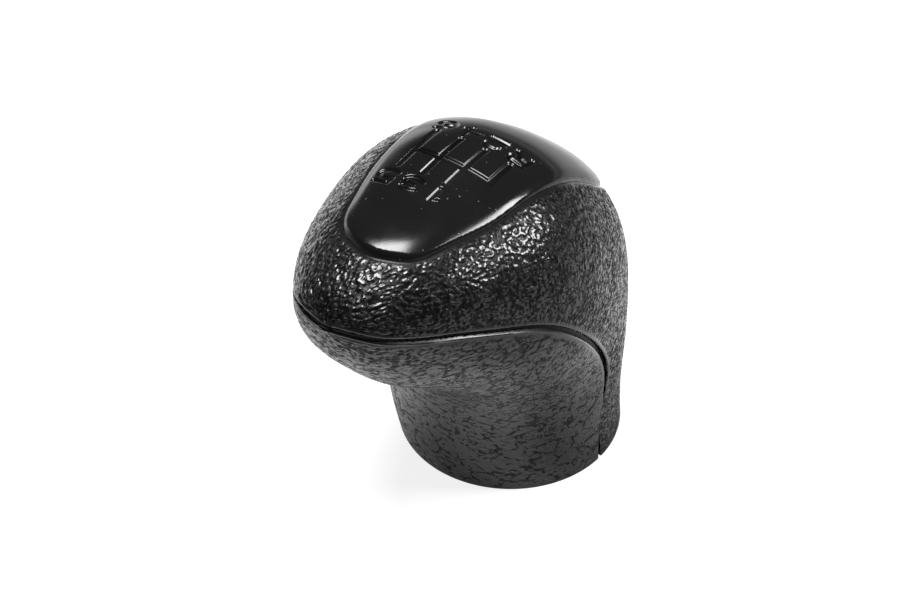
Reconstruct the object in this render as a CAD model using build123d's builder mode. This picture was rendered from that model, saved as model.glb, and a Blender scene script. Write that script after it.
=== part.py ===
# Gear shift knob: two grained shells closed around a lever socket, with a smooth cap that carries
# the shift pattern. +Z runs up the lever, -Y is the front of the car, +X is the driver's left,
# and the origin is the centre of the base.
import os

from build123d import *

# Outer skin (mm). Each station is one oval section of the bent neck and head, drawn between a point
# on the front or chin line and a point on the rear or top line of the side view. The seam share says
# how far along that line the widest place lies, and the half width is the reach to each side there.
stations = [
    # front (y, z), rear (y, z), seam share, half width
    ((-23.0, 0.0), (23.0, 0.0), 0.50, 23.0),
    ((-24.3, 10.2), (23.0, 13.5), 0.48, 23.6),
    ((-25.8, 18.8), (23.2, 28.0), 0.475, 24.0),
    ((-27.8, 25.2), (22.5, 43.0), 0.45, 25.2),
    ((-30.6, 31.2), (17.5, 57.0), 0.40, 27.2),
    ((-34.4, 36.0), (5.0, 70.7), 0.40, 28.0),
    ((-38.9, 40.2), (-9.5, 79.4), 0.42, 26.4),
    ((-43.8, 44.2), (-25.5, 80.1), 0.46, 22.8),
    ((-49.2, 48.4), (-40.0, 78.9), 0.52, 18.3),
    ((-53.8, 54.0), (-50.3, 75.8), 0.57, 13.5),
    ((-57.6, 60.0), (-56.3, 73.0), 0.62, 8.8),
    ((-59.2, 65.0), (-58.5, 71.0), 0.62, 4.6),
    ((-59.6, 67.3), (-59.4, 69.6), 0.60, 1.7),
]
nose_stations = 2
wall = 3.0

# Seam between the two shells, in the side view (y, z), with an open wedge where they part at the base
seam_line = [
    (-1.5, -2.0),
    (-1.5, 12.0),
    (-1.8, 23.0),
    (-4.2, 33.5),
    (-10.5, 42.8),
    (-18.0, 50.8),
    (-26.3, 57.4),
    (-35.5, 61.8),
    (-44.2, 64.7),
    (-51.8, 66.8),
    (-57.0, 68.2),
    (-64.0, 69.4),
]
groove_width = 0.6
groove_depth = 0.9
wedge_width = 1.6
wedge_height = 9.0

# Pattern cap, outlined on a plane that leans back with the top of the head
cap_lean = 25.0
cap_centre = (0, -20.0, 81.0)
cap_outline = [
    (0, -22.2),
    (4.4, -21.2),
    (7.5, -19.5),
    (9.6, -16.6),
    (11.0, -13.2),
    (13.6, -5.0),
    (14.9, 5.0),
    (15.2, 14.0),
    (14.4, 25.0),
    (10.6, 42.0),
    (0, 50.0),
]
cap_proud = 0.5
cap_depth = 1.6
cap_gap = 0.15
cap_edge_radius = 0.4
cap_reach_down = 25.0
cap_reach_up = 20.0

# Shift pattern, seen in plan: four gates joined by one bar, engraved into the cap
gate_count = 4
gate_pitch = 5.7
bar_y = -20.0
gate_front_y = -26.2
gate_rear_y = -13.0
front_row_y = -29.4
rear_row_y = -9.8
gate_groove_width = 1.2
number_groove_width = 0.8
engraving_depth = 0.6
engraving_bottom_z = 70.0
engraving_reach = 20.0

# Strokes of the numbers, drawn upright and narrow about their centres, then widened: straight runs, or
# curves through the points
number_widening = 1.4
number_lowering = 0.92
numbers = {
    "1": [("run", [(-0.7, 1.1), (0.2, 2.0), (0.2, -2.0)])],
    "2": [
        ("curve", [(-1.1, 1.0), (-0.8, 1.8), (0.0, 2.0), (0.9, 1.7), (1.1, 0.9), (0.5, -0.2), (-1.2, -1.9)]),
        ("run", [(-1.3, -1.9), (1.3, -1.9)]),
    ],
    "3": [
        ("curve", [(-1.1, 1.5), (-0.1, 2.0), (1.0, 1.5), (0.9, 0.6), (-0.3, 0.2)]),
        ("curve", [(-0.3, 0.2), (1.0, -0.1), (1.2, -1.1), (0.5, -1.9), (-0.4, -2.0), (-1.2, -1.5)]),
    ],
    "4": [("run", [(0.5, 2.0), (-1.3, -0.8), (1.4, -0.8)]), ("run", [(0.5, 2.0), (0.5, -2.0)])],
    "5": [
        ("run", [(1.1, 1.9), (-0.9, 1.9), (-1.0, 0.2)]),
        ("curve", [(-1.0, 0.2), (0.1, 0.6), (1.1, 0.0), (1.1, -1.2), (0.3, -2.0), (-1.2, -1.6)]),
    ],
    "6": [
        ("curve", [(0.9, 1.9), (-0.3, 1.5), (-1.1, 0.3), (-1.1, -1.1), (-0.1, -2.0), (1.0, -1.4)]),
        ("curve", [(1.0, -1.4), (1.1, -0.5), (0.1, 0.3), (-1.1, -0.4)]),
    ],
    "R": [
        ("run", [(-1.1, -2.0), (-1.1, 1.9), (0.1, 1.9)]),
        ("curve", [(0.1, 1.9), (1.0, 1.7), (1.2, 0.9), (0.9, 0.2), (0.0, 0.0)]),
        ("run", [(-1.1, 0.0), (0.0, 0.0), (1.2, -2.0)]),
    ],
}

# Snap legs under the cap
leg_length = 4.0
leg_thickness = 1.4
leg_gap = 0.2
leg_half_spread = 8.0
leg_rows_y = (-31.0, -14.0)
leg_bottom_z = 71.0
leg_reach = 15.0

# Lever socket with its flange and ribs, and the threaded bush moulded into it
socket_radius = 12.0
socket_bottom = 2.5
socket_top = 38.0
flange_height = 2.5
rib_thickness = 2.4
cross_rib_top = 36.0
front_rib_top = 30.0
rear_rib_top = 62.0
bush_across_flats = 15.0
bush_length = 30.0
bush_collar_radius = 9.5
bush_collar_height = 2.0
bush_waist_radius = 7.0
bush_waist_height = 4.0
lever_thread_radius = 5.4
lever_thread_depth = 26.0
lever_thread_chamfer = 0.8

# Two screws under the cap: the front one joins the shells, the rear one holds the upper shell to the socket
front_screw_y = -36.0
rear_screw_y = -6.0
front_seat_z = 74.5
rear_seat_z = 72.0
boss_height = 4.5
boss_radius = 4.6
screw_radius = 1.5
screw_hole_radius = 1.9
screw_length = 14.0
screw_point_length = 2.0
screw_head_radius = 3.0
screw_head_rim = 0.8
screw_head_dome = 1.4
screw_head_height = screw_head_rim + screw_head_dome
screw_head_gap = 0.3
screw_drive_width = 3.2
screw_drive_slot = 0.9
screw_drive_depth = 1.3
chin_post_bottom = 36.0
chin_rib_bottom = 33.0
chin_rib_top = 57.0
chin_rib_front_y = -56.0
chin_rib_rear_y = -20.0

# Reach of the cutting and limiting shapes past the knob
body_reach = 40.0
body_top = 95.0
body_front = -70.0
below_base = -2.0

screw_places = [(front_screw_y, front_seat_z), (rear_screw_y, rear_seat_z)]
leg_places = [(side * leg_half_spread, row_y) for row_y in leg_rows_y for side in (-1, 1)]


def section(station, grow):
    # One oval section of the skin, moved outwards by grow, on the plane through its front and rear points
    front_point, rear_point, seam_share, half_width = station
    front = Vector(0, *front_point)
    chord = Vector(0, *rear_point) - front
    rear_reach = (1 - seam_share) * chord.length + grow
    front_reach = seam_share * chord.length + grow
    across = Vector(1, 0, 0)
    plane = Plane(origin=front + chord * seam_share, x_dir=across, z_dir=across.cross(chord))
    with BuildSketch(plane) as oval:
        with BuildLine():
            EllipticalCenterArc((0, 0), half_width + grow, rear_reach, 0, arc_size=180)
            EllipticalCenterArc((0, 0), half_width + grow, front_reach, 180, arc_size=180)
        make_face()
    return oval.sketch


def skin(grow):
    # The knob's whole outer form, moved outwards by grow; a form moved inwards stops short of the nose
    used = stations if grow >= 0 else stations[:-nose_stations]
    sections = [section(station, grow) for station in used]
    with BuildPart() as form:
        loft(sections=sections)
    return form.part


def seam_region(*corners):
    # The side of the seam that the corners go round, in the side view
    with BuildSketch(Plane.YZ) as side:
        with BuildLine():
            Spline(*seam_line)
            Polyline(seam_line[-1], *corners, seam_line[0])
        make_face()
    return side.sketch


def cap_shadow(gap):
    # Outline of the cap on its leaning plane, widened all round by gap
    half_width = max(x for x, along in cap_outline)
    half_length = (cap_outline[-1][1] - cap_outline[0][1]) / 2
    middle = cap_outline[0][1] + half_length
    wider = 1 + gap / half_width
    longer = 1 + gap / half_length
    right_side = [(x * wider, middle + (along - middle) * longer) for x, along in cap_outline]
    left_side = [(-x, along) for x, along in reversed(right_side[1:-1])]
    plane = Plane(origin=cap_centre, x_dir=(1, 0, 0), z_dir=Vector(0, 0, 1).rotate(Axis.X, -cap_lean))
    with BuildSketch(plane.offset(-cap_reach_down)) as shadow:
        with BuildLine():
            Spline(*right_side, *left_side, periodic=True)
        make_face()
    return shadow.sketch


def number_face(name, place):
    # A number turned to be read from behind the knob, so that its top points to the front
    with BuildSketch(Plane.XY.offset(engraving_bottom_z)) as figure:
        for kind, points in numbers[name]:
            turned = [
                (place[0] - across * number_widening, place[1] - up * number_lowering) for across, up in points
            ]
            with BuildLine():
                if kind == "run":
                    Polyline(*turned)
                else:
                    Spline(*turned)
            trace(line_width=number_groove_width)
    return figure.sketch


outer_form = skin(0)
inner_form = skin(-wall)
groove_form = skin(-groove_depth)
cap_seat_form = skin(-cap_depth)
cap_top_form = skin(cap_proud)
engraving_form = skin(cap_proud - engraving_depth)

above_seam = seam_region((seam_line[-1][0], body_top), (body_reach, body_top), (body_reach, below_base))
below_seam = seam_region((body_front, seam_line[-1][1]), (body_front, below_base))

# Groove that runs round the knob along the seam
with BuildPart() as seam_groove:
    with BuildSketch(Plane.YZ):
        with BuildLine():
            Spline(*seam_line)
        trace(line_width=groove_width)
    extrude(amount=body_reach, both=True)
    add(groove_form, mode=Mode.SUBTRACT)

# Hollow that the cap lies in
with BuildPart() as cap_recess:
    extrude(cap_shadow(cap_gap), amount=cap_reach_down + cap_reach_up)
    add(cap_seat_form, mode=Mode.SUBTRACT)

# Bosses under the cap for the two screws
with BuildPart() as screw_bosses:
    for screw_y, seat_z in screw_places:
        with BuildSketch(Plane.XY.offset(seat_z - boss_height)):
            with Locations((0, screw_y)):
                Circle(boss_radius)
        extrude(amount=body_reach)
    add(cap_seat_form, mode=Mode.INTERSECT)

# Upper shell: rear half of the neck and the whole top of the head, with the seat of the cap
with BuildPart() as upper_shell:
    add(outer_form)
    add(inner_form, mode=Mode.SUBTRACT)
    extrude(above_seam, amount=body_reach, both=True, mode=Mode.INTERSECT)
    add(screw_bosses.part)
    add(cap_recess.part, mode=Mode.SUBTRACT)
    add(seam_groove.part, mode=Mode.SUBTRACT)
    for screw_y, seat_z in screw_places:
        with BuildSketch(Plane.XY.offset(seat_z)):
            with Locations((0, screw_y)):
                Circle(screw_head_radius + screw_head_gap)
        extrude(amount=body_reach, mode=Mode.SUBTRACT)
        with BuildSketch(Plane.XY.offset(seat_z - boss_height)):
            with Locations((0, screw_y)):
                Circle(screw_hole_radius)
        extrude(amount=boss_height, mode=Mode.SUBTRACT)
    with BuildSketch(Plane.XY.offset(leg_bottom_z)):
        with Locations(leg_places):
            Rectangle(leg_thickness + 2 * leg_gap, leg_length + 2 * leg_gap)
    extrude(amount=leg_reach, mode=Mode.SUBTRACT)
upper_shell.part.label = "upper_shell"

# Post and rib inside the chin, which take the front screw
with BuildPart() as chin_post:
    with BuildSketch(Plane.XY.offset(chin_post_bottom)):
        with Locations((0, front_screw_y)):
            Circle(boss_radius)
    extrude(amount=front_seat_z - boss_height - chin_post_bottom)
    with BuildSketch(Plane.YZ):
        with Locations(((chin_rib_front_y + chin_rib_rear_y) / 2, (chin_rib_bottom + chin_rib_top) / 2)):
            Rectangle(chin_rib_rear_y - chin_rib_front_y, chin_rib_top - chin_rib_bottom)
    extrude(amount=rib_thickness / 2, both=True)
    add(inner_form, mode=Mode.INTERSECT)

# Lower shell: front half of the neck and the chin
with BuildPart() as lower_shell:
    add(outer_form)
    add(inner_form, mode=Mode.SUBTRACT)
    extrude(below_seam, amount=body_reach, both=True, mode=Mode.INTERSECT)
    add(chin_post.part)
    add(seam_groove.part, mode=Mode.SUBTRACT)
    with BuildSketch(Plane.YZ):
        with BuildLine():
            seam_y = seam_line[0][0]
            Polyline((seam_y, 0), (seam_y - wedge_width, 0), (seam_y, wedge_height), close=True)
        make_face()
    extrude(amount=body_reach, both=True, mode=Mode.SUBTRACT)
    with BuildSketch(Plane.XY.offset(front_seat_z)):
        with Locations((0, front_screw_y)):
            Circle(screw_radius)
    extrude(amount=-screw_length, mode=Mode.SUBTRACT)
lower_shell.part.label = "lower_shell"

# Outside of the threaded bush: a hexagon with a collar at its foot and a waist that keeps it from pulling out
bush_plane = Plane.XY.offset(socket_bottom)
with BuildPart() as bush_outside:
    with BuildSketch(bush_plane):
        RegularPolygon(bush_across_flats / 2, 6, major_radius=False)
    extrude(amount=bush_length)
    with BuildSketch(bush_plane.offset((bush_length - bush_waist_height) / 2)):
        Circle(bush_across_flats)
        Circle(bush_waist_radius, mode=Mode.SUBTRACT)
    extrude(amount=bush_waist_height, mode=Mode.SUBTRACT)
    with BuildSketch(bush_plane):
        Circle(bush_collar_radius)
    extrude(amount=bush_collar_height)

with BuildPart() as lever_bush:
    add(bush_outside.part)
    with BuildSketch(bush_plane):
        Circle(lever_thread_radius)
    extrude(amount=lever_thread_depth, mode=Mode.SUBTRACT)
    chamfer(lever_bush.edges().group_by(Axis.Z)[0].sort_by(Edge.length)[0], lever_thread_chamfer)
lever_bush.part.label = "lever_bush"

# Lever socket: a tube round the bush, a flange that closes the base, and ribs and a post up to the shells
with BuildPart() as lever_socket:
    with BuildSketch(bush_plane):
        Circle(socket_radius)
    extrude(amount=socket_top - socket_bottom)
    with BuildSketch(bush_plane):
        Circle(body_reach)
    extrude(amount=flange_height)
    with BuildSketch(bush_plane):
        Rectangle(2 * body_reach, rib_thickness)
    extrude(amount=cross_rib_top - socket_bottom)
    with BuildSketch(bush_plane):
        Rectangle(rib_thickness, body_reach, align=(Align.CENTER, Align.MAX))
    extrude(amount=front_rib_top - socket_bottom)
    with BuildSketch(bush_plane):
        Rectangle(rib_thickness, body_reach, align=(Align.CENTER, Align.MIN))
    extrude(amount=rear_rib_top - socket_bottom)
    with BuildSketch(Plane.XY.offset(socket_top)):
        with Locations((0, rear_screw_y)):
            Circle(boss_radius)
    extrude(amount=rear_seat_z - boss_height - socket_top)
    add(inner_form, mode=Mode.INTERSECT)
    add(bush_outside.part, mode=Mode.SUBTRACT)
    with BuildSketch(Plane.XY.offset(rear_seat_z)):
        with Locations((0, rear_screw_y)):
            Circle(screw_radius)
    extrude(amount=-screw_length, mode=Mode.SUBTRACT)
lever_socket.part.label = "lever_socket"

# Two pan-head screws, each with a cross recess
with BuildPart() as cap_screws:
    for screw_y, seat_z in screw_places:
        with BuildSketch(Plane(origin=(0, screw_y, seat_z), x_dir=(0, 1, 0), z_dir=(1, 0, 0))):
            with BuildLine():
                EllipticalCenterArc((0, screw_head_rim), screw_head_radius, screw_head_dome)
                Polyline(
                    (0, screw_head_height),
                    (0, -screw_length),
                    (screw_radius, screw_point_length - screw_length),
                    (screw_radius, 0),
                    (screw_head_radius, 0),
                    (screw_head_radius, screw_head_rim),
                )
            make_face()
        revolve(axis=Axis((0, screw_y, 0), (0, 0, 1)))
        with BuildSketch(Plane.XY.offset(seat_z + screw_head_height)):
            with Locations((0, screw_y)):
                Rectangle(screw_drive_width, screw_drive_slot)
                Rectangle(screw_drive_slot, screw_drive_width)
        extrude(amount=-screw_drive_depth, mode=Mode.SUBTRACT)
cap_screws.part.label = "cap_screws"

# Engraving: the gates and the bar as straight grooves, and a number at the end of each gate
first_gate_x = -gate_pitch * (gate_count - 1) / 2
gate_columns = [first_gate_x + gate_pitch * step for step in range(gate_count)]
forward_gates = gate_columns[:-1]
reverse_gate_x = gate_columns[-1]
with BuildPart() as engraving:
    with BuildSketch(Plane.XY.offset(engraving_bottom_z)):
        with Locations([(gate_x, (gate_front_y + gate_rear_y) / 2) for gate_x in forward_gates]):
            Rectangle(gate_groove_width, gate_rear_y - gate_front_y + gate_groove_width)
        with Locations((reverse_gate_x, (bar_y + gate_rear_y) / 2)):
            Rectangle(gate_groove_width, gate_rear_y - bar_y + gate_groove_width)
        with Locations((0, bar_y)):
            Rectangle(reverse_gate_x - first_gate_x + gate_groove_width, gate_groove_width)
        for name, gate_x in zip("531", forward_gates):
            add(number_face(name, (gate_x, front_row_y)))
        for name, gate_x in zip("642R", gate_columns):
            add(number_face(name, (gate_x, rear_row_y)))
    extrude(amount=engraving_reach)
    add(engraving_form, mode=Mode.SUBTRACT)

# Snap legs that hold the cap in its seat
with BuildPart() as cap_legs:
    with BuildSketch(Plane.XY.offset(leg_bottom_z)):
        with Locations(leg_places):
            Rectangle(leg_thickness, leg_length)
    extrude(amount=leg_reach)
    add(engraving_form, mode=Mode.INTERSECT)

# Pattern cap: a thin curved plate with rounded edges, the engraved pattern and four snap legs
with BuildPart() as pattern_cap:
    extrude(cap_shadow(0), amount=cap_reach_down + cap_reach_up)
    add(cap_top_form, mode=Mode.INTERSECT)
    add(cap_seat_form, mode=Mode.SUBTRACT)
    cap_top = pattern_cap.faces().sort_by(SortBy.AREA)[-1]
    fillet(cap_top.edges(), cap_edge_radius)
    add(cap_legs.part)
    add(engraving.part, mode=Mode.SUBTRACT)
pattern_cap.part.label = "pattern_cap"

os.makedirs("parts", exist_ok=True)
export_step(upper_shell.part, "parts/upper_shell.step")
export_step(lower_shell.part, "parts/lower_shell.step")
export_step(lever_bush.part, "parts/lever_bush.step")
export_step(lever_socket.part, "parts/lever_socket.step")
export_step(cap_screws.part, "parts/cap_screws.step")
export_step(pattern_cap.part, "parts/pattern_cap.step")
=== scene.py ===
import math
import bpy
import numpy as np
from mathutils import Matrix, Vector
from mathutils.bvhtree import BVHTree


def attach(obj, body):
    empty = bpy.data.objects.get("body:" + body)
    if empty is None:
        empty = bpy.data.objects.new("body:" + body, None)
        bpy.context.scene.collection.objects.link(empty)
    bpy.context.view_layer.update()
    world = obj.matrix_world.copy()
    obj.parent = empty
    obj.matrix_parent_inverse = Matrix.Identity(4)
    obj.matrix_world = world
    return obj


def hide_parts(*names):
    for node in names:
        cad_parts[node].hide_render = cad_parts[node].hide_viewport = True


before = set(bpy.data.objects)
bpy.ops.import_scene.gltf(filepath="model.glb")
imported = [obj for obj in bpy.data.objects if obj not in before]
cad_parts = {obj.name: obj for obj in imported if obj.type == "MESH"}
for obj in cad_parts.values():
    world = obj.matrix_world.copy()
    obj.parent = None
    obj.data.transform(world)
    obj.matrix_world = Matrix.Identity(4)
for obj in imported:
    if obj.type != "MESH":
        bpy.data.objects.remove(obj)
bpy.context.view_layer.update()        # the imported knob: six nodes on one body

mm = 0.001
rideOn = "root"


# small helpers

def deselectAll():
    if bpy.context.object and bpy.context.object.mode != "OBJECT":
        bpy.ops.object.mode_set(mode="OBJECT")
    bpy.ops.object.select_all(action="DESELECT")


def pick(obj):
    deselectAll()
    obj.select_set(True)
    bpy.context.view_layer.objects.active = obj


def applyModifiers(obj):
    pick(obj)
    for name in [modifier.name for modifier in obj.modifiers]:
        bpy.ops.object.modifier_apply(modifier=name)


def editMesh(obj, *steps):    # each step is an operator and its settings
    pick(obj)
    bpy.ops.object.mode_set(mode="EDIT")
    bpy.ops.mesh.select_all(action="SELECT")
    for operator, settings in steps:
        operator(**settings)
    bpy.ops.object.mode_set(mode="OBJECT")


def getPoints(obj):
    flat = np.zeros(len(obj.data.vertices) * 3)
    obj.data.vertices.foreach_get("co", flat)
    return flat.reshape(-1, 3)


def setPoints(obj, points):
    obj.data.vertices.foreach_set("co", np.asarray(points, float).ravel())
    obj.data.update()


def storeMask(obj, name, values):
    layer = obj.data.attributes.new(name, "FLOAT", "POINT")
    layer.data.foreach_set("value", np.asarray(values, np.float32))


def setMaterial(obj, material):
    obj.data.materials.clear()
    obj.data.materials.append(material)


def softStep(low, high, values):
    share = np.clip((values - low) / (high - low), 0, 1)
    return share * share * (3 - 2 * share)


def fadeFrom(least, share):    # from the least value at share 0 to 1 at share 1
    return least + (1 - least) * share


def splineThrough(knots, values):    # natural cubic curve through the values
    knots = np.asarray(knots, float)
    values = np.asarray(values, float).reshape(len(knots), -1)
    gaps = np.diff(knots)
    slopes = np.diff(values, axis=0) / gaps[:, None]
    system = np.eye(len(knots))
    right = np.zeros_like(values)
    for row in range(1, len(knots) - 1):
        system[row, row - 1:row + 2] = gaps[row - 1], 2 * (gaps[row - 1] + gaps[row]), gaps[row]
        right[row] = 6 * (slopes[row] - slopes[row - 1])
    bends = np.linalg.solve(system, right)

    def at(places):
        places = np.atleast_1d(places)
        span = np.clip(np.searchsorted(knots, places, side="right") - 1, 0, len(gaps) - 1)
        after = (places - knots[span])[:, None]
        before = (knots[span + 1] - places)[:, None]
        gap = gaps[span][:, None]
        cubic = (bends[span] * before ** 3 + bends[span + 1] * after ** 3) / (6 * gap)
        line = (values[span] / gap - bends[span] * gap / 6) * before
        return cubic + line + (values[span + 1] / gap - bends[span + 1] * gap / 6) * after

    return at


def curveThrough(points, steps):    # smooth open line through flat points, as many steps between each two
    points = np.asarray(points, float)
    knots = np.r_[0, np.cumsum(np.linalg.norm(np.diff(points, axis=0), axis=1))]
    places = np.linspace(0, knots[-1], steps * (len(points) - 1) + 1)
    return splineThrough(knots, points)(places)


# the form that both shells and the cap follow: oval sections from the base to the nose, in mm

knobForm = {
    # each row: front (y, z), rear (y, z), share of the way to the widest place, half width,
    # and how full the section is at the rear and at the front, where 2 is an ellipse
    "sections": [
        (-23.0, 0.0, 23.0, 0.0, 0.50, 23.0, 2.0, 2.0),
        (-24.3, 10.2, 23.0, 13.5, 0.474, 23.6, 1.95, 2.15),
        (-25.8, 18.8, 23.2, 28.0, 0.511, 24.0, 1.95, 2.25),
        (-27.8, 25.2, 22.5, 43.0, 0.461, 25.2, 2.02, 2.3),
        (-30.6, 31.2, 17.5, 57.0, 0.414, 27.2, 2.1, 2.3),
        (-34.4, 36.0, 5.0, 70.8, 0.418, 28.0, 2.18, 2.25),
        (-38.9, 40.2, -9.5, 79.5, 0.44, 26.4, 2.22, 2.2),
        (-43.8, 44.2, -25.5, 80.2, 0.48, 22.8, 2.22, 2.2),
        (-49.2, 48.4, -40.0, 79.0, 0.531, 18.3, 2.22, 2.2),
        (-53.8, 54.0, -50.3, 75.9, 0.57, 13.5, 2.22, 2.2),
        (-57.6, 60.0, -56.3, 73.0, 0.62, 8.8, 2.2, 2.2),
        (-59.2, 65.0, -58.5, 71.0, 0.62, 4.6, 2.15, 2.1),
        (-59.6, 67.3, -59.4, 69.6, 0.60, 1.7, 2.1, 2.1),
    ],
    "wall": 3.0,
    "deepest": 0.8,    # share of a small section that the wall may take
    "noseDome": 0.3,
    "noseRings": 6,
    "measureSteps": 4000,
    "treeRings": 500,
    "treeTurns": 361,
}


def formSpline():
    rows = np.array(knobForm["sections"])
    middle = rows[:, 0:2] * (1 - rows[:, 4:5]) + rows[:, 2:4] * rows[:, 4:5]
    apart = [np.diff(rows[:, 0:2], axis=0), np.diff(rows[:, 2:4], axis=0), np.diff(middle, axis=0)]
    steps = np.mean([np.linalg.norm(step, axis=1) for step in apart], axis=0)
    knots = np.r_[0, np.cumsum(steps)]
    return splineThrough(knots, rows), knots[-1]


sectionAt, formLength = formSpline()


def evenPlaces(columns, count):    # places along the form, evenly spaced on its front or rear line
    fine = np.linspace(0, formLength, knobForm["measureSteps"])
    line = sectionAt(fine)[:, columns]
    run = np.r_[0, np.cumsum(np.linalg.norm(np.diff(line, axis=0), axis=1))]
    return np.interp(np.linspace(0, run[-1], count), run, fine)


# one ring for each place; turn 0 is the +X seam, a quarter turn is the rear
def formPoints(places, turns, depth):
    rows = sectionAt(places)
    dome = np.linspace(0, math.pi / 2, knobForm["noseRings"] + 1)[1:]
    rows = np.vstack([rows, np.repeat(rows[-1:], len(dome), axis=0)])
    shrink = np.r_[np.ones(len(places)), np.cos(dome)][:, None]
    push = np.r_[np.zeros(len(places)), knobForm["noseDome"] * np.sin(dome)][:, None]
    turns = np.vstack([turns, np.repeat(turns[-1:], len(dome), axis=0)])
    depth = np.vstack([depth, np.repeat(depth[-1:], len(dome), axis=0)])
    chord = rows[:, 2:4] - rows[:, 0:2]
    length = np.linalg.norm(chord, axis=1)[:, None]
    chord = chord / length
    centre = rows[:, 0:2] * (1 - rows[:, 4:5]) + rows[:, 2:4] * rows[:, 4:5]
    atRear = np.sin(turns) >= 0
    reach = np.where(atRear, 1 - rows[:, 4:5], rows[:, 4:5]) * length
    power = 2 / np.where(atRear, rows[:, 6:7], rows[:, 7:8])
    rise = np.sign(np.sin(turns)) * np.abs(np.sin(turns)) ** power
    across = np.sign(np.cos(turns)) * np.abs(np.cos(turns)) ** power
    half = rows[:, 5:6]
    inner = np.minimum(depth, knobForm["deepest"] * np.minimum(half, reach))
    along = (reach - inner) * rise * shrink
    x = (half - inner) * across * shrink
    y = centre[:, 0:1] + along * chord[:, 0:1] - push
    z = centre[:, 1:2] + along * chord[:, 1:2]
    return np.stack([x, y, z], axis=2), reach * np.abs(rise) * shrink


def smoothFormTree():    # the whole outer skin as one fine surface, for laying the cap on
    rings, count = knobForm["treeRings"], knobForm["treeTurns"]
    turns = np.linspace(0, 2 * math.pi, count)
    grid = formPoints(evenPlaces([2, 3], rings), np.tile(turns, (rings, 1)), np.zeros((rings, count)))[0]
    quads = [(r * count + c, r * count + c + 1, (r + 1) * count + c + 1, (r + 1) * count + c)
             for r in range(grid.shape[0] - 1) for c in range(count - 1)]
    return BVHTree.FromPolygons(grid.reshape(-1, 3).tolist(), quads)


# the cap's outline, on a plane that leans back with the top of the head

capForm = {
    "lean": 25.0,
    "centre": (0.0, -20.0, 81.0),
    "outline": [    # half width and place along the plane, front to rear
        (0.0, -22.4), (4.4, -21.4), (7.6, -19.6), (9.7, -16.7), (11.0, -13.2), (13.6, -5.0),
        (14.9, 5.0), (15.2, 14.0), (14.4, 25.0), (10.6, 42.0), (0.0, 50.0),
    ],
    "outlinePoints": 240,
    "proud": 0.5,
    "thickness": 2.4,
    "voxel": 0.32,
    "edgeRadius": 0.15,
    "edgeSegments": 5,
    "smoothing": 0.5,
    "smoothAngle": 60.0,
    "topBand": 0.5,    # how near to the top the points of the upper face lie
    "carvedShare": 0.6,    # share of the thickness that gives way to the engraving
    "castFrom": 20.0,    # height above the plane from which the form is looked for
    "sideRoll": (0.45, 1.8),    # drop at the edge and the width that it takes
    "tipRoll": (0.28, 2.6),
    "tipStart": -12.0,
    "tipEnd": -19.0,
    "tipLift": (0.85, -11.0),    # how far the tip stays up from the form, and where that starts
    "rollPower": 2.0,
    "rollLimit": 1.1,
}

lean = math.radians(capForm["lean"])
capOrigin = np.array(capForm["centre"])
capAcross = np.array([1.0, 0.0, 0.0])
capAlong = np.array([0.0, math.cos(lean), -math.sin(lean)])
capUp = np.array([0.0, math.sin(lean), math.cos(lean)])


def capOutline():    # closed smooth line through the outline points and their mirror images
    right = np.array(capForm["outline"], float)
    ring = np.vstack([right, right[-2:0:-1] * (-1, 1)])
    tripled = np.vstack([ring, ring, ring, ring[:1]])
    knots = np.r_[0, np.cumsum(np.linalg.norm(np.diff(tripled, axis=0), axis=1))]
    turnLength = knots[len(ring)]
    places = turnLength + np.arange(capForm["outlinePoints"]) * turnLength / capForm["outlinePoints"]
    return splineThrough(knots, tripled)(places)


outline = capOutline()


def distanceToLines(points, starts, ends):    # shortest distance from flat points to a set of straight runs
    best = np.full(len(points), 1e9)
    for start, end in zip(starts, ends):
        run = end - start
        share = np.clip(((points - start) @ run) / max(run @ run, 1e-12), 0, 1)
        best = np.minimum(best, np.linalg.norm(points - start - share[:, None] * run, axis=1))
    return best


def outlineDistance(flat):    # distance to the cap's edge, negative inside it
    ends = np.roll(outline, -1, axis=0)
    inside = np.zeros(len(flat), bool)
    for start, end in zip(outline, ends):
        spans = (start[1] > flat[:, 1]) != (end[1] > flat[:, 1])
        if start[1] != end[1]:
            crossing = start[0] + (flat[:, 1] - start[1]) / (end[1] - start[1]) * (end[0] - start[0])
            inside ^= spans & (flat[:, 0] < crossing)
    return np.where(inside, -1, 1) * distanceToLines(flat, outline, ends)


def onCapPlane(points):    # points in mm to across, along and height on the leaning plane
    offset = points - capOrigin
    return np.stack([offset @ capAcross, offset @ capAlong, offset @ capUp], axis=1)


# node helpers

def addNode(tree, kind, settings=None, inputs=None):
    made = tree.nodes.new(kind)
    for key, value in (settings or {}).items():
        setattr(made, key, value)
    for key, value in (inputs or {}).items():
        if isinstance(value, bpy.types.NodeSocket):
            tree.links.new(value, made.inputs[key])
        else:
            made.inputs[key].default_value = value
    return made


def calc(tree, operation, first, second=0.0, third=0.0):
    inputs = {0: first, 1: second, 2: third}
    return addNode(tree, "ShaderNodeMath", {"operation": operation}, inputs).outputs[0]


def vectorCalc(tree, operation, inputs):
    return addNode(tree, "ShaderNodeVectorMath", {"operation": operation}, inputs).outputs


def heightOf(tree, place):
    return addNode(tree, "ShaderNodeSeparateXYZ", {}, {0: place}).outputs["Z"]


def stored(tree, name):    # a mask that the mesh carries
    return addNode(tree, "ShaderNodeAttribute", {"attribute_name": name}).outputs["Fac"]


def inMillimetres(tree, place, stretch=(1, 1, 1)):
    return vectorCalc(tree, "MULTIPLY", {0: place, 1: [1 / mm / part for part in stretch]})[0]


def ramp(tree, value, low, high, start=0.0, end=1.0):
    return addNode(
        tree, "ShaderNodeMapRange", {"interpolation_type": "SMOOTHSTEP"},
        {"Value": value, "From Min": low, "From Max": high, "To Min": start, "To Max": end},
    ).outputs[0]


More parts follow.
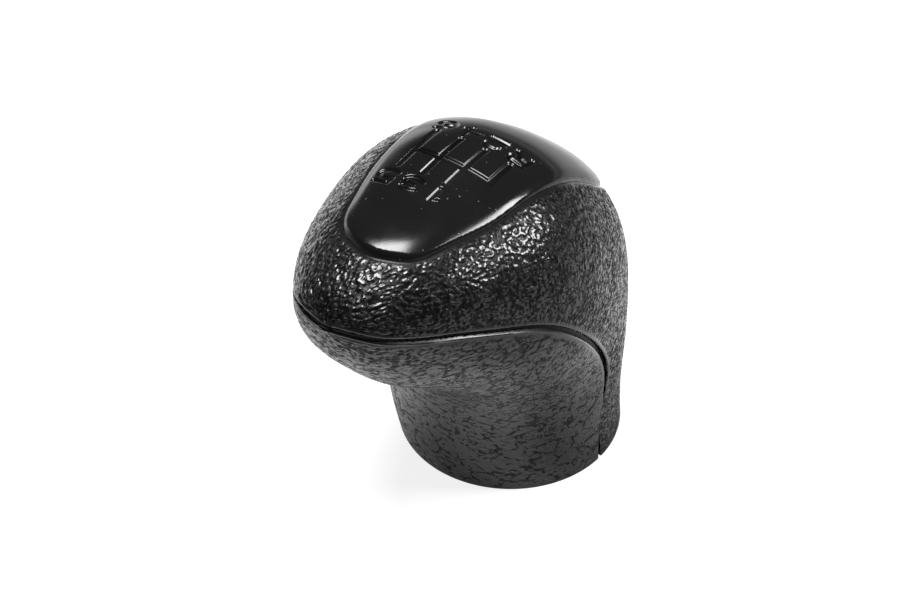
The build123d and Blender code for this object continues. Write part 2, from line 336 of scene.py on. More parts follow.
def noise(tree, place, scale, detail=2.0, roughness=0.5):
    return addNode(
        tree, "ShaderNodeTexNoise", {},
        {"Vector": place, "Scale": scale, "Detail": detail, "Roughness": roughness},
    )


def voronoi(tree, place, scale, feature):
    return addNode(
        tree, "ShaderNodeTexVoronoi", {"feature": feature}, {"Vector": place, "Scale": scale},
    ).outputs["Distance"]


def newMaterial(name):
    material = bpy.data.materials.new(name)
    material.use_nodes = True
    tree = material.node_tree
    return material, tree, tree.nodes["Principled BSDF"]


def objectPlace(tree, stretch=(1, 1, 1)):    # object coordinates in mm
    coords = tree.nodes.new("ShaderNodeTexCoord").outputs["Object"]
    return inMillimetres(tree, coords, stretch)


def mixColour(tree, share, first, second):
    mixed = addNode(tree, "ShaderNodeMix", {"data_type": "RGBA"}, {"Factor": share})
    for socket, value in ((mixed.inputs[6], first), (mixed.inputs[7], second)):
        if isinstance(value, bpy.types.NodeSocket):
            tree.links.new(value, socket)
        else:
            socket.default_value = (*value, 1)
    return mixed.outputs[2]


def addBump(tree, shader, depth, height):    # depth in mm
    bump = addNode(
        tree, "ShaderNodeBump", {}, {"Strength": 1.0, "Distance": depth * mm, "Height": height},
    )
    tree.links.new(bump.outputs[0], shader.inputs["Normal"])


# grain shared by the two shells: a worm field stored on the mesh, and a node group that makes
# plates and cracks of it

grainShape = {
    "pressMargin": 0.05,
    "raggedScale": 2.2,
    "shoulder": 0.1,    # how much wider than its dark line the relief of a crack is
    "keptScale": 0.8,
    "keptEdge": 0.04,
    "curlLine": (0.25, 0.6),
    "swayScale": 1.3,
    "sway": 0.7,
    "brokenScale": 3.2,
    "brokenEdge": (0.38, 0.54),
    "netEdge": 0.03,
    "breakHeights": (5.0, 40.0),    # between them the share of left out marks changes
    "cloudScale": 0.09,
    "cloudEdge": (0.35, 0.65),
    "roughEdge": (0.3, 0.7),
    "roughSpread": (-0.04, 0.05),
    "fineScale": 6.0,
}


def pressGrain(obj, look):    # stores the worm field on the mesh and presses its low places in
    tree = bpy.data.node_groups.new(obj.name + "Press", "GeometryNodeTree")
    tree.interface.new_socket(name="Geometry", in_out="INPUT", socket_type="NodeSocketGeometry")
    tree.interface.new_socket(name="Geometry", in_out="OUTPUT", socket_type="NodeSocketGeometry")
    given = tree.nodes.new("NodeGroupInput").outputs
    position = addNode(tree, "GeometryNodeInputPosition").outputs[0]
    place = inMillimetres(tree, position, look["stretch"])
    worm = addNode(
        tree, "ShaderNodeTexGabor", {"gabor_type": "3D"},
        {"Vector": place, "Scale": look["wormScale"], "Frequency": look["wormWaves"], "Anisotropy": 0.0},
    ).outputs["Value"]
    patch = noise(tree, place, look["patchScale"], 2.0).outputs[0]
    worm = calc(tree, "MULTIPLY_ADD", calc(tree, "SUBTRACT", patch, 0.5), look["patchShift"], worm)
    bare = ramp(tree, heightOf(tree, position), look["bareTop"] * mm, 0.0, 0.0, look["bareShift"])
    worm = calc(tree, "ADD", worm, bare)
    kept = addNode(
        tree, "GeometryNodeStoreNamedAttribute", {"data_type": "FLOAT", "domain": "POINT"},
        {"Geometry": given[0], "Name": "worm", "Value": worm},
    )
    mask = addNode(tree, "GeometryNodeInputNamedAttribute", {"data_type": "FLOAT"}, {"Name": "grain"})
    low, high = look["cracks"]
    low -= grainShape["pressMargin"]
    sink = ramp(tree, worm, high + look["dome"], low, 0.0, -look["pressDepth"] * mm)
    sink = calc(tree, "MULTIPLY", sink, mask.outputs[0])
    normal = addNode(tree, "GeometryNodeInputNormal").outputs[0]
    offset = vectorCalc(tree, "SCALE", {0: normal, "Scale": sink})[0]
    moved = addNode(tree, "GeometryNodeSetPosition", {}, {"Geometry": kept.outputs[0], "Offset": offset})
    addNode(tree, "NodeGroupOutput", {}, {0: moved.outputs[0]})
    modifier = obj.modifiers.new("grain", "NODES")
    modifier.node_group = tree
    applyModifiers(obj)


# plates, cracks and relief from the stored worm field, fine curls and a broken net of thin cracks; the crack
# mask also carries the groove's painted shade and darkens the colour as painted shade
def leatherGrain():
    shape = grainShape
    tree = bpy.data.node_groups.new("leatherGrain", "ShaderNodeTree")
    face = tree.interface
    for label in ("Place", "Net Place"):
        face.new_socket(name=label, in_out="INPUT", socket_type="NodeSocketVector")
    for label in (
        "Worm", "Mask", "Groove Shade", "Crack Low", "Crack High", "Ragged",
        "Curl Scale", "Curl Width", "Curl Break", "Net", "Net Width",
    ):
        face.new_socket(name=label, in_out="INPUT", socket_type="NodeSocketFloat")
    for label in ("Crack And Groove Shade", "Plates", "Height"):
        face.new_socket(name=label, in_out="OUTPUT", socket_type="NodeSocketFloat")
    given = tree.nodes.new("NodeGroupInput").outputs
    ragged = calc(tree, "SUBTRACT", noise(tree, given["Place"], shape["raggedScale"], 2.0).outputs[0], 0.5)
    worm = calc(tree, "MULTIPLY_ADD", ragged, given["Ragged"], given["Worm"])
    cracks = ramp(tree, worm, given["Crack High"], given["Crack Low"])
    wide = ramp(tree, worm, calc(tree, "ADD", given["Crack High"], shape["shoulder"]), given["Crack Low"])
    # fine curly cracks run where a noise crosses its middle value
    curl = noise(tree, given["Place"], given["Curl Scale"], 1.0).outputs[0]
    curl = calc(tree, "ABSOLUTE", calc(tree, "SUBTRACT", curl, 0.5))
    kept = noise(tree, given["Place"], shape["keptScale"], 2.0).outputs[0]
    kept = calc(tree, "SUBTRACT", kept, given["Curl Break"])
    kept = ramp(tree, kept, -shape["keptEdge"], shape["keptEdge"])
    curlWide = calc(tree, "MULTIPLY", ramp(tree, curl, given["Curl Width"], 0.0), kept)
    cracks = calc(tree, "MAXIMUM", cracks, ramp(tree, curlWide, *shape["curlLine"]))
    wide = calc(tree, "MAXIMUM", wide, curlWide)
    # the net is the edges of swaying cells, left out in places
    sway = noise(tree, given["Net Place"], shape["swayScale"], 2.0).outputs["Color"]
    sway = vectorCalc(tree, "SCALE", {0: sway, "Scale": shape["sway"]})[0]
    swayed = vectorCalc(tree, "ADD", {0: given["Net Place"], 1: sway})[0]
    net = voronoi(tree, swayed, 1.0, "DISTANCE_TO_EDGE")
    broken = noise(tree, given["Net Place"], shape["brokenScale"], 1.0).outputs[0]
    broken = ramp(tree, broken, *shape["brokenEdge"])
    width = calc(tree, "MULTIPLY", broken, given["Net Width"])
    net = ramp(tree, calc(tree, "SUBTRACT", net, width), shape["netEdge"], -shape["netEdge"])
    net = calc(tree, "MULTIPLY", calc(tree, "MULTIPLY", net, broken), given["Net"])
    cracks = calc(tree, "MULTIPLY", calc(tree, "MAXIMUM", cracks, net), given["Mask"])
    # painted shade: the groove's faces are darkened like the cracks
    cracks = calc(tree, "MAXIMUM", cracks, given["Groove Shade"])
    wide = calc(tree, "MULTIPLY", calc(tree, "MAXIMUM", wide, net), given["Mask"])
    height = calc(tree, "SUBTRACT", 1.0, wide)
    plates = calc(tree, "SUBTRACT", 1.0, cracks)
    addNode(tree, "NodeGroupOutput", {}, {"Crack And Groove Shade": cracks, "Plates": plates, "Height": height})
    return tree


grainGroup = leatherGrain()


def grainedPlastic(name, look):
    shape = grainShape
    material, tree, shader = newMaterial(name)
    place = objectPlace(tree)
    low, high = look["cracks"]
    leftOut = ramp(tree, heightOf(tree, place), *shape["breakHeights"], *look["curlBreak"])
    grain = addNode(
        tree, "ShaderNodeGroup", {"node_tree": grainGroup},
        {
            "Place": objectPlace(tree, look["stretch"]), "Net Place": objectPlace(tree, look["netCell"]),
            "Worm": stored(tree, "worm"), "Mask": stored(tree, "grain"), "Groove Shade": stored(tree, "grooveShade"),
            "Crack Low": low, "Crack High": high, "Ragged": look["ragged"],
            "Curl Scale": look["curlScale"], "Curl Width": look["curlWidth"], "Curl Break": leftOut,
            "Net": look["net"], "Net Width": look["netWidth"],
        },
    ).outputs
    cloud = noise(tree, place, shape["cloudScale"], 3.0).outputs[0]
    fine = noise(tree, place, shape["fineScale"], 2.0).outputs[0]
    plate = mixColour(tree, ramp(tree, cloud, *shape["cloudEdge"]), look["colour"], look["colourWorn"])
    # painted shade: the cracks and the groove are darkened to near black in the colour
    colour = mixColour(tree, grain["Crack And Groove Shade"], plate, look["colourCrackShade"])
    tree.links.new(colour, shader.inputs["Base Color"])
    spread = [look["roughness"] + part for part in shape["roughSpread"]]
    tree.links.new(ramp(tree, cloud, *shape["roughEdge"], *spread), shader.inputs["Roughness"])
    relief = calc(tree, "MULTIPLY_ADD", fine, look["microShare"], grain["Height"])
    addBump(tree, shader, look["bumpDepth"], relief)
    tree.links.new(grain["Plates"], shader.inputs["Coat Weight"])
    shader.inputs["Coat Roughness"].default_value = look["coatRoughness"]
    shader.inputs["Specular IOR Level"].default_value = look["specular"]
    return material


# shells: closed rings of skin, seam rim and inner wall, wrapped along the form

def buildShell(name, look):
    places = evenPlaces(look["evenOn"], look["rings"])
    rows = sectionAt(places)
    front = look["startTurn"] > 0
    chord = np.linalg.norm(rows[:, 2:4] - rows[:, 0:2], axis=1)
    reach = chord * (rows[:, 4] if front else 1 - rows[:, 4])
    fullness = rows[:, 7] if front else rows[:, 6]
    seamZ = rows[:, 1] * (1 - rows[:, 4]) + rows[:, 3] * rows[:, 4]
    # the groove closes towards the base, where a wedge parts the shells
    parted = softStep(*look["grooveFade"], seamZ)
    wedge = np.clip(1 - seamZ / look["wedgeHeight"], 0, 1)
    gap = look["halfGroove"] * fadeFrom(look["leastGap"], parted) + look["wedgeWidth"] * wedge
    depthIn = look["grooveDepth"] * fadeFrom(look["leastDepth"], parted) + look["wedgeDepth"] * (wedge > 0)

    def turnAt(distance):    # turn that lies this far from the seam
        return np.arcsin(np.clip(distance / reach, 0, 0.5) ** (fullness / 2))[:, None]

    edge = turnAt(gap)
    floor = turnAt(np.full(len(places), look["floorGap"]))
    close = np.array(look["edgeLines"])
    shares = np.r_[close, np.linspace(close[-1], 1 - close[-1], look["lines"])[1:-1], (1 - close)[::-1]]
    outer = edge + (math.pi - 2 * edge) * shares[None]
    wall = floor + (math.pi - 2 * floor) * np.linspace(1, 0, look["wallLines"])[None]
    rim = depthIn[:, None]
    turns = np.hstack([outer, outer[:, -1:], wall[:, :1], wall, wall[:, -1:], outer[:, :1], outer[:, :1]])
    turns += look["startTurn"]
    depth = np.hstack([
        np.zeros_like(outer), rim, rim, np.full_like(wall, knobForm["wall"]), rim, rim, np.zeros_like(rim),
    ])
    grid, rise = formPoints(places, turns, depth)
    rings, lines = grid.shape[:2]
    deselectAll()
    bpy.ops.mesh.primitive_grid_add(x_subdivisions=lines - 1, y_subdivisions=rings - 1, size=1)
    obj = bpy.context.object
    obj.name = name
    obj.data.name = name
    # skin masks, from the distance to the seam rim in mm
    toNose = (0, rings - len(places))
    arc = rise - np.pad(gap, toNose, mode="edge")[:, None]
    arc[:, outer.shape[1]:] = -1
    parted = np.repeat(np.pad(parted, toNose, mode="edge"), lines)
    points = grid.reshape(-1, 3)
    arc = arc.ravel()
    onSkin = arc >= -1e-6
    rimDrop, rimWidth, rimPower = look["rim"]
    sink = rimDrop * fadeFrom(look["leastRim"], parted) * np.clip(1 - arc / rimWidth, 0, 1) ** rimPower
    sink += look["lineDepth"] * parted * np.exp(-((arc - look["rimBand"]) / look["lineWidth"]) ** 2)
    band = look["rimBand"] * fadeFrom(look["leastGap"], parted)
    grain = softStep(0, 1, (arc - band) / (look["rimFade"] * fadeFrom(look["leastDepth"], parted)))
    grain *= softStep(*look["baseBand"], points[:, 2])
    if look["holdsCap"]:
        flat = onCapPlane(points)
        below, farAway = look["underHead"]
        away = np.where(flat[:, 2] > below, outlineDistance(flat[:, :2]), farAway)
        sink += look["moatDepth"] * (1 - softStep(*look["moatWidth"], away))
        sink += look["seatDepth"] * softStep(*look["seatEdge"], away)
        grain *= softStep(*look["grainStart"], away)
    sink = np.where(onSkin, sink, 0)
    grain = np.where(onSkin, grain, 0)
    setPoints(obj, points * mm)
    storeMask(obj, "sink", sink)
    storeMask(obj, "grain", grain)
    # painted shade: the inner wall, the rim and the skin at the open groove's edge are marked to be painted
    # dark
    storeMask(obj, "grooveShade", np.where(onSkin, softStep(look["grooveShadeEdge"], 0.0, arc) * parted, 1))
    editMesh(
        obj,
        (bpy.ops.mesh.remove_doubles, {"threshold": 1e-7}),
        (bpy.ops.mesh.select_all, {"action": "DESELECT"}),
        (bpy.ops.mesh.select_non_manifold, {}),
        (bpy.ops.mesh.fill, {}),
        (bpy.ops.mesh.select_all, {"action": "SELECT"}),
        (bpy.ops.mesh.normals_make_consistent, {"inside": False}),
    )
    drop = np.zeros(len(obj.data.vertices), np.float32)
    obj.data.attributes["sink"].data.foreach_get("value", drop)
    normals = np.zeros(len(drop) * 3)
    obj.data.vertices.foreach_get("normal", normals)
    setPoints(obj, getPoints(obj) - normals.reshape(-1, 3) * drop[:, None] * mm)
    obj.data.attributes.remove(obj.data.attributes["sink"])
    pressGrain(obj, look)
    pick(obj)
    bpy.ops.object.shade_smooth_by_angle(angle=math.radians(look["smoothAngle"]))
    setMaterial(obj, grainedPlastic(name + "Plastic", look))
    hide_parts(look["node"])
    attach(obj, rideOn)
    print(name, len(obj.data.polygons), "faces")


bothShells = {
    "wallLines": 14,
    "halfGroove": 0.3,
    "floorGap": 0.02,
    "grooveDepth": 0.9,
    "grooveFade": (16.0, 25.0),    # heights between which the groove opens
    "leastGap": 0.1,    # shares that are left where the groove has closed
    "leastDepth": 0.2,
    "leastRim": 0.03,
    # painted shade reaches this far onto the skin from the groove's edge
    "grooveShadeEdge": 0.12,
    "wedgeDepth": 0.9,
    "wedgeHeight": 10.0,
    "baseBand": (0.3, 1.1),    # the grain starts between these heights
    "smoothAngle": 50.0,
    "patchShift": 0.25,
    "ragged": 0.08,
    "microShare": 0.03,
    # painted shade in the cracks and the groove
    "colourCrackShade": (0.003, 0.003, 0.003),
    "specular": 0.2,
}

upperShell = {
    **bothShells,
    "node": "upper_shell",
    "evenOn": [2, 3],
    "rings": 400,
    "lines": 212,
    "edgeLines": (0.0, 0.0012, 0.0026, 0.0044, 0.0066),
    "startTurn": 0.0,
    "wedgeWidth": 0.0,
    "rim": (0.4, 0.5, 2.0),    # drop, width and power of its rounding
    "rimBand": 0.5,
    "rimFade": 0.6,
    "lineDepth": 0.0,
    "lineWidth": 0.15,
    "holdsCap": True,
    "underHead": (-30.0, 50.0),    # points this far below the cap's plane count as this far from the cap
    "moatWidth": (-0.2, 1.4),    # distances from the cap's edge between which the moat rises
    "moatDepth": 0.6,
    "grainStart": (0.5, 1.4),
    "seatEdge": (-0.3, -1.0),
    "seatDepth": 1.0,
    "stretch": (1.0, 1.0, 1.0),
    "wormScale": 0.7,
    "wormWaves": 1.55,
    "patchScale": 0.3,
    "bareTop": 20.0,
    "bareShift": 0.0,
    "cracks": (0.42, 0.47),
    "curlScale": 0.65,
    "curlWidth": 0.11,
    "curlBreak": (0.0, 0.0),
    "dome": 0.22,
    "pressDepth": 0.19,
    "bumpDepth": 0.09,
    "netCell": (3.0, 3.0, 3.0),
    "net": 0.0,
    "netWidth": 0.06,
    "colour": (0.009, 0.009, 0.0095),
    "colourWorn": (0.012, 0.012, 0.0125),
    "roughness": 0.34,
    "coatRoughness": 0.16,
}

lowerShell = {
    **bothShells,
    "node": "lower_shell",
    "evenOn": [0, 1],
    "rings": 310,
    "lines": 220,
    "edgeLines": (0.0, 0.0012, 0.0026, 0.0044, 0.0066, 0.0095, 0.0125),
    "startTurn": math.pi,
    "wedgeWidth": 0.9,
    "rim": (0.7, 0.6, 1.25),
    "rimBand": 0.9,
    "rimFade": 0.7,
    "lineDepth": 0.12,
    "lineWidth": 0.18,
    "holdsCap": False,
    "stretch": (1.4, 1.4, 0.8),
    "wormScale": 0.6,
    "wormWaves": 1.6,
    "patchScale": 0.25,
    "bareTop": 42.0,
    "bareShift": 0.13,
    "cracks": (0.34, 0.40),
    "curlScale": 0.6,
    "curlWidth": 0.065,
    "curlBreak": (0.57, 0.43),    # more of the marks are left out at the base than at the chin
    "dome": 0.25,
    "pressDepth": 0.14,
    "bumpDepth": 0.07,
    "netCell": (4.6, 4.6, 3.6),
    "net": 1.0,
    "netWidth": 0.06,
    "colour": (0.0095, 0.0093, 0.0098),
    "colourWorn": (0.012, 0.0117, 0.0124),
    "roughness": 0.4,
    "coatRoughness": 0.24,
}

buildShell("upper_shell_skin", upperShell)
buildShell("lower_shell_skin", lowerShell)


# cap: a flat plate with a rounded rim, remeshed, laid on the form and engraved

shiftPattern = {
    "columns": 4,
    "pitch": 5.7,
    "barY": -20.0,
    "gateY": (-25.2, -13.2),
    "frontRow": ("531", -29.0),
    "rearRow": ("642R", -10.1),
    "gateWidth": 1.3,
    "numberWidth": 0.95,
    "numberScale": (1.45, 0.92),
    "depth": 0.38,
    "soft": 0.25,
    "curveSteps": 6,
    "fineField": (12.0, (-14.5, 15.0)),    # half width and stretch of the plate that the pattern takes
    "fineMargin": 0.15,
    "strokes": {    # upright about their centres, as straight runs or curves through the points
        "1": [("run", [(-0.7, 1.1), (0.2, 2.0), (0.2, -2.0)])],
        "2": [
            ("curve", [
                (-1.1, 1.0), (-0.8, 1.8), (0.0, 2.0), (0.9, 1.7), (1.1, 0.9), (0.5, -0.2), (-1.2, -1.9),
            ]),
            ("run", [(-1.3, -1.9), (1.3, -1.9)]),
        ],
        "3": [
            ("curve", [(-1.1, 1.5), (-0.1, 2.0), (1.0, 1.5), (0.9, 0.6), (-0.3, 0.2)]),
            ("curve", [(-0.3, 0.2), (1.0, -0.1), (1.2, -1.1), (0.5, -1.9), (-0.4, -2.0), (-1.2, -1.5)]),
        ],
        "4": [("run", [(0.5, 2.0), (-1.3, -0.8), (1.4, -0.8)]), ("run", [(0.5, 2.0), (0.5, -2.0)])],
        "5": [
            ("run", [(1.1, 1.9), (-0.9, 1.9), (-1.0, 0.2)]),
            ("curve", [(-1.0, 0.2), (0.1, 0.6), (1.1, 0.0), (1.1, -1.2), (0.3, -2.0), (-1.2, -1.6)]),
        ],
        "6": [
            ("curve", [(0.9, 1.9), (-0.3, 1.5), (-1.1, 0.3), (-1.1, -1.1), (-0.1, -2.0), (1.0, -1.4)]),
            ("curve", [(1.0, -1.4), (1.1, -0.5), (0.1, 0.3), (-1.1, -0.4)]),
        ],
        "R": [
            ("run", [(-1.1, -2.0), (-1.1, 1.9), (0.1, 1.9)]),
            ("curve", [(0.1, 1.9), (1.0, 1.7), (1.2, 0.9), (0.9, 0.2), (0.0, 0.0)]),
            ("run", [(-1.1, 0.0), (0.0, 0.0), (1.2, -2.0)]),
        ],
    },
}


def patternRuns():    # straight runs of the gates, and of the numbers, in plan and in mm
    pattern = shiftPattern
    count = pattern["columns"]
    columns = [pattern["pitch"] * (step - (count - 1) / 2) for step in range(count)]
    front, rear = pattern["gateY"]
    gates = [((x, front), (x, rear)) for x in columns[:-1]]
    gates.append(((columns[-1], pattern["barY"]), (columns[-1], rear)))
    gates.append(((columns[0], pattern["barY"]), (columns[-1], pattern["barY"])))
    figures = []
    for names, rowY in (pattern["frontRow"], pattern["rearRow"]):
        for name, x in zip(names, columns):
            for kind, points in pattern["strokes"][name]:
                line = np.array(points) if kind == "run" else curveThrough(points, pattern["curveSteps"])
                line = np.array([x, rowY]) - line * pattern["numberScale"]    # read from behind the knob
                figures.extend(zip(line[:-1], line[1:]))
    return np.array(gates, float), np.array(figures, float)


def patternCut(laid, widen=0.0):    # share of the full depth, from the distance to the nearest stroke in plan
    pattern = shiftPattern
    gates, figures = patternRuns()
    carve = np.zeros(len(laid))
    for runs, width in ((gates, pattern["gateWidth"]), (figures, pattern["numberWidth"])):
        far = distanceToLines(laid[:, :2], runs[:, 0], runs[:, 1]) - widen
        carve = np.maximum(carve, softStep(width / 2 + pattern["soft"], width / 2 - pattern["soft"], far))
    return carve


def refine(obj, fine):    # splits the faces between the chosen points
    pick(obj)
    bpy.ops.object.mode_set(mode="EDIT")
    bpy.ops.mesh.select_mode(type="VERT")
    bpy.ops.mesh.select_all(action="DESELECT")
    bpy.ops.object.mode_set(mode="OBJECT")
    obj.data.vertices.foreach_set("select", fine)
    bpy.ops.object.mode_set(mode="EDIT")
    bpy.ops.mesh.subdivide(number_cuts=1)
    bpy.ops.object.mode_set(mode="OBJECT")


def layOnForm(points, tree):    # plate points in mm to their places on the head
    form = capForm
    inward = -outlineDistance(points[:, :2])
    tip = softStep(form["tipStart"], form["tipEnd"], points[:, 1])
    rollDrop = form["sideRoll"][0] * (1 - tip) + form["tipRoll"][0] * tip
    rollWidth = form["sideRoll"][1] * (1 - tip) + form["tipRoll"][1] * tip
    roll = np.clip(1 - inward / rollWidth, 0, form["rollLimit"])
    height = points[:, 2] - rollDrop * roll ** form["rollPower"]
    lift, liftStart = form["tipLift"]
    raised = np.clip((liftStart - points[:, 1]) / (liftStart - outline[:, 1].min()), 0, 1) ** 2
    height += lift * raised * (1 + points[:, 2] / form["thickness"])
    above, down = form["castFrom"], Vector(-capUp)
    start = capOrigin + points[:, :1] * capAcross + points[:, 1:2] * capAlong + above * capUp
    level = np.array([above - (tree.ray_cast(Vector(place), down)[3] or above) for place in start])
    return start + (level + form["proud"] + height - above)[:, None] * capUp


def buildCap(name):
    form = capForm
    deselectAll()
    bpy.ops.mesh.primitive_circle_add(vertices=form["outlinePoints"], radius=1, fill_type="NGON")
    obj = bpy.context.object
    obj.name = name
    obj.data.name = name
    ring = np.c_[outline, np.zeros(len(outline))]
    setPoints(obj, ring)    # worked in mm until it is laid on the form
    editMesh(
        obj,
        (bpy.ops.mesh.extrude_region_move, {"TRANSFORM_OT_translate": {"value": (0, 0, -form["thickness"])}}),
        (bpy.ops.mesh.select_all, {"action": "SELECT"}),
        (bpy.ops.mesh.normals_make_consistent, {"inside": False}),
    )
    bpy.ops.object.mode_set(mode="EDIT")
    bpy.ops.mesh.select_mode(type="EDGE")
    bpy.ops.mesh.select_all(action="DESELECT")
    bpy.ops.object.mode_set(mode="OBJECT")
    atTop = getPoints(obj)[:, 2] > -form["topBand"]
    for edge in obj.data.edges:
        edge.select = bool(atTop[edge.vertices[0]] and atTop[edge.vertices[1]])
    bpy.ops.object.mode_set(mode="EDIT")
    bpy.ops.mesh.bevel(offset=form["edgeRadius"], segments=form["edgeSegments"], affect="EDGES")
    bpy.ops.mesh.select_mode(type="VERT")
    bpy.ops.object.mode_set(mode="OBJECT")
    remesh = obj.modifiers.new("even", "REMESH")
    remesh.mode = "VOXEL"
    remesh.voxel_size = form["voxel"]
    rounding = obj.modifiers.new("round", "SMOOTH")
    rounding.factor = form["smoothing"]
    rounding.iterations = 1
    applyModifiers(obj)
    points = getPoints(obj)
    across, along = shiftPattern["fineField"]
    inField = (np.abs(points[:, 0]) < across) & (points[:, 1] > along[0]) & (points[:, 1] < along[1])
    refine(obj, inField & (points[:, 2] > -form["topBand"]))
    tree = smoothFormTree()
    points = getPoints(obj)
    laid = layOnForm(points, tree)
    nearStrokes = patternCut(laid, shiftPattern["fineMargin"]) > 0
    refine(obj, nearStrokes & (points[:, 2] > -form["topBand"]))
    points = getPoints(obj)
    laid = layOnForm(points, tree)
    carved = points[:, 2] > -form["carvedShare"] * form["thickness"]
    carve = np.where(carved, patternCut(laid), 0)
    laid -= (carve * shiftPattern["depth"])[:, None] * capUp
    setPoints(obj, laid * mm)
    storeMask(obj, "engraved", carve)
    pick(obj)
    bpy.ops.object.shade_smooth_by_angle(angle=math.radians(form["smoothAngle"]))
    setMaterial(obj, capPlastic("capPlastic", capLook))
    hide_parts("pattern_cap")
    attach(obj, rideOn)
    print(name, len(obj.data.polygons), "faces")


capLook = {
    "colour": (0.0095, 0.0095, 0.0097),
    # painted shade in the engraved strokes
    "colourCutShade": (0.002, 0.002, 0.002),
    "colourDust": (0.16, 0.155, 0.15),
    "cloudScale": 0.12,
    "roughness": 0.15,
    "roughEdge": (0.3, 0.7),
    "roughSpread": (-0.04, 0.05),
    "cutEdge": (0.5, 0.95),
    "cutRough": 0.12,
    "dustScale": 0.55,
    "dustSize": (0.0, 0.09),    # the specks' radius changes with a noise of its own
    "dustSizeScale": 0.9,
    "dustSizeEdge": (0.36, 0.66),
    "dustEdge": (0.02, -0.01),
    "dustShare": 0.6,
    "dustRough": 0.4,
    "dustHeight": 2.0,
    "fineNoise": (5.0, 3.0, 0.6),    # scale, detail and roughness
    "microDepth": 0.006,
    "specular": 0.5,
}


def capPlastic(name, look):
    material, tree, shader = newMaterial(name)
    place = objectPlace(tree)
    cloud = noise(tree, place, look["cloudScale"], 3.0).outputs[0]
    dust = voronoi(tree, place, look["dustScale"], "F1")
    dustSize = noise(tree, place, look["dustSizeScale"], 0.0).outputs[0]
    dustSize = ramp(tree, dustSize, *look["dustSizeEdge"], *look["dustSize"])
    specks = ramp(tree, calc(tree, "SUBTRACT", dust, dustSize), *look["dustEdge"])
    specks = calc(tree, "MULTIPLY", specks, look["dustShare"])
    cut = stored(tree, "engraved")
    # painted shade: the engraved strokes are darker in colour
    colour = mixColour(tree, cut, look["colour"], look["colourCutShade"])
    tree.links.new(mixColour(tree, specks, colour, look["colourDust"]), shader.inputs["Base Color"])
    spread = [look["roughness"] + part for part in look["roughSpread"]]
    rough = ramp(tree, cloud, *look["roughEdge"], *spread)
    rough = calc(tree, "ADD", rough, ramp(tree, cut, *look["cutEdge"], 0.0, look["cutRough"]))
    rough = calc(tree, "MULTIPLY_ADD", specks, look["dustRough"], rough)
    tree.links.new(rough, shader.inputs["Roughness"])
    fine = noise(tree, place, *look["fineNoise"]).outputs[0]
    height = calc(tree, "ADD", fine, calc(tree, "MULTIPLY", specks, look["dustHeight"]))
    addBump(tree, shader, look["microDepth"], height)
    shader.inputs["Specular IOR Level"].default_value = look["specular"]
    return material


buildCap("pattern_cap_plate")


# inner pieces keep their node meshes and get a finish

leverSocket = {
    "colour": (0.02, 0.02, 0.021),
    "colourPale": (0.034, 0.034, 0.036),
    "cloudScale": 0.2,
    "fineScale": 3.0,
    "roughEdge": (0.3, 0.7),
    "roughness": (0.45, 0.6),
    "bumpDepth": 0.02,
}


def mouldedPlastic(name, look):
    material, tree, shader = newMaterial(name)
    place = objectPlace(tree)
    cloud = noise(tree, place, look["cloudScale"], 3.0).outputs[0]
    fine = noise(tree, place, look["fineScale"], 3.0).outputs[0]
    colour = mixColour(tree, cloud, look["colour"], look["colourPale"])
    tree.links.new(colour, shader.inputs["Base Color"])
    rough = ramp(tree, fine, *look["roughEdge"], *look["roughness"])
    tree.links.new(rough, shader.inputs["Roughness"])
    addBump(tree, shader, look["bumpDepth"], fine)
    return material


turning = {    # marks of the lathe, on the bush and the screws
    "ringScale": 1.4,
    "ringSway": 0.6,
    "stainScale": 0.3,
    "roughSpread": (-0.06, 0.08),
    "bumpDepth": 0.01,
}

leverBush = {
    **turning,
    "colour": (0.42, 0.29, 0.11),
    "colourBright": (0.66, 0.49, 0.22),
    "roughness": 0.32,
}

capScrews = {
    **turning,
    "colour": (0.42, 0.42, 0.41),
    "colourBright": (0.62, 0.62, 0.61),
    "roughness": 0.3,
}


def turnedMetal(name, look):
    material, tree, shader = newMaterial(name)
    place = objectPlace(tree)
    rings = addNode(
        tree, "ShaderNodeTexWave", {"wave_type": "RINGS", "rings_direction": "Z"},
        {"Vector": place, "Scale": look["ringScale"], "Distortion": look["ringSway"], "Detail": 2.0},
    ).outputs["Fac"]
    stain = noise(tree, place, look["stainScale"], 3.0).outputs[0]
    colour = mixColour(tree, stain, look["colour"], look["colourBright"])
    tree.links.new(colour, shader.inputs["Base Color"])
    shader.inputs["Metallic"].default_value = 1.0
    spread = [look["roughness"] + part for part in look["roughSpread"]]
    tree.links.new(ramp(tree, rings, 0.0, 1.0, *spread), shader.inputs["Roughness"])
    addBump(tree, shader, look["bumpDepth"], rings)
    return material


setMaterial(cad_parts["lever_socket"], mouldedPlastic("socketPlastic", leverSocket))
setMaterial(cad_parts["lever_bush"], turnedMetal("bushBrass", leverBush))
setMaterial(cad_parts["cap_screws"], turnedMetal("screwSteel", capScrews))
print("inner pieces finished")


# studio: white floor, soft lamps, camera

